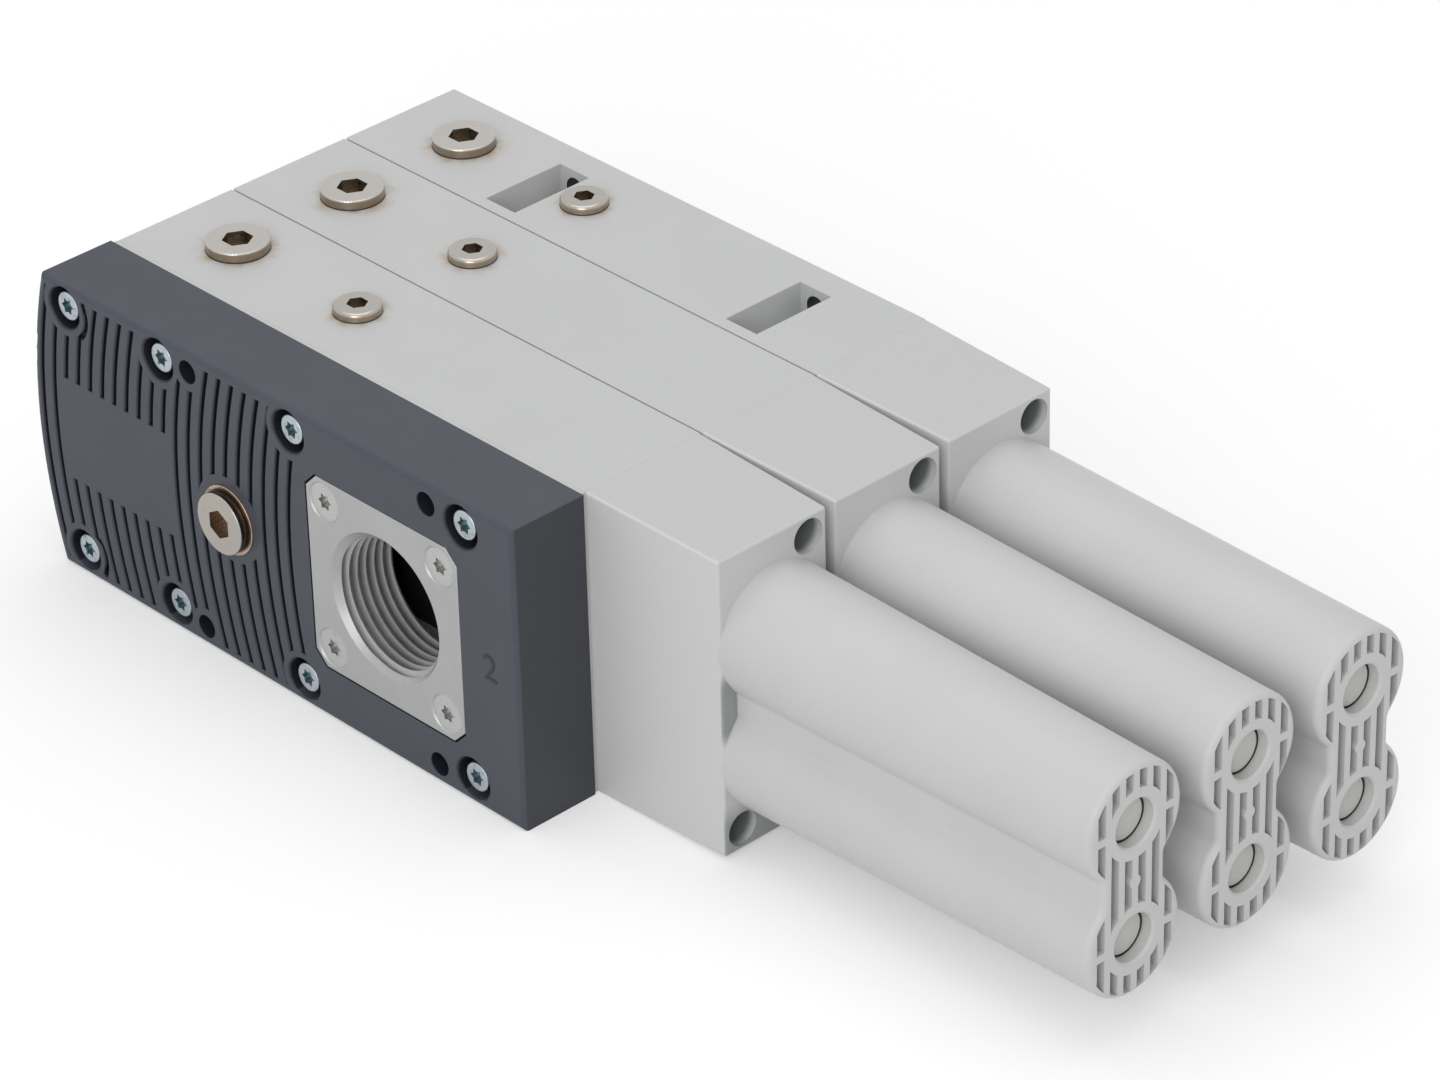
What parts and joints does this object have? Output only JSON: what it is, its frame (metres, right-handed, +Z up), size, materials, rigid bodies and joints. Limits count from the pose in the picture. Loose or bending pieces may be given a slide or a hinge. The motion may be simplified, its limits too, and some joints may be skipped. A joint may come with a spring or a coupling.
{
  "type": "vacuum ejector",
  "caption": "Multi-stage compressed-air vacuum ejector: a dark connection plate with a threaded port, stacked grey modules behind it and ribbed twin silencers on one side.",
  "frame": {"origin": "middle of the whole ejector's footprint, on the flat underside of the plate and the modules", "axes": "+X along the modules towards the silencers, -Y out of the connection plate's face and its port, +Z up"},
  "size_m": [0.2934, 0.1212, 0.0754],
  "materials": {
    "dark_plate": "anodised slate grey, matte",
    "housing_plastic": "moulded light grey, matte",
    "flange_metal": "machined, satin",
    "screw_steel": "zinc-plated",
    "plug_metal": "nickel-plated, worn",
    "copper": "soft copper",
    "rubber": "matte",
    "light_gasket": "matte light grey",
    "porous_plastic": "sintered, matte",
    "inner_plastic": "moulded, matte",
    "nozzle_brass": "turned"
  },
  "bodies": {
    "root": {"air_plug_seals": "rubber", "air_plugs": "plug_metal", "clamping_screws": "screw_steel", "connection_plate": "dark_plate", "flap_screws": "screw_steel", "flap_valve_1_last": "rubber", "flap_valve_1_middle": "rubber", "flap_valve_2_last": "rubber", "flap_valve_2_middle": "rubber", "flap_valve_3_last": "rubber", "flap_valve_3_middle": "rubber", "front_plug": "plug_metal", "front_plug_seal": "copper", "gauge_plug_seals": "rubber", "gauge_plugs": "plug_metal", "inlet_nozzle_1_lower": "nozzle_brass", "inlet_nozzle_1_upper": "nozzle_brass", "inlet_nozzle_2_lower": "nozzle_brass", "inlet_nozzle_2_upper": "nozzle_brass", "inlet_nozzle_3_lower": "nozzle_brass", "inlet_nozzle_3_upper": "nozzle_brass", "module_gasket_1": "rubber", "module_gasket_2": "rubber", "module_housing_1": "housing_plastic", "module_housing_2": "housing_plastic", "module_housing_3": "housing_plastic", "outlet_nozzle_1_lower": "inner_plastic", "outlet_nozzle_1_upper": "inner_plastic", "outlet_nozzle_2_lower": "inner_plastic", "outlet_nozzle_2_upper": "inner_plastic", "outlet_nozzle_3_lower": "inner_plastic", "outlet_nozzle_3_upper": "inner_plastic", "plate_gasket": "light_gasket", "port_flange": "flange_metal", "port_flange_screws": "screw_steel", "port_flange_seal": "rubber", "silencer_1": "housing_plastic", "silencer_2": "housing_plastic", "silencer_3": "housing_plastic", "silencer_core_1_lower": "porous_plastic", "silencer_core_1_upper": "porous_plastic", "silencer_core_2_lower": "porous_plastic", "silencer_core_2_upper": "porous_plastic", "silencer_core_3_lower": "porous_plastic", "silencer_core_3_upper": "porous_plastic", "silencer_gasket_1": "rubber", "silencer_gasket_2": "rubber", "silencer_gasket_3": "rubber", "silencer_screws": "screw_steel", "valve_plate_1": "inner_plastic", "valve_plate_2": "inner_plastic", "valve_plate_3": "inner_plastic"}
  },
  "joints": []
}
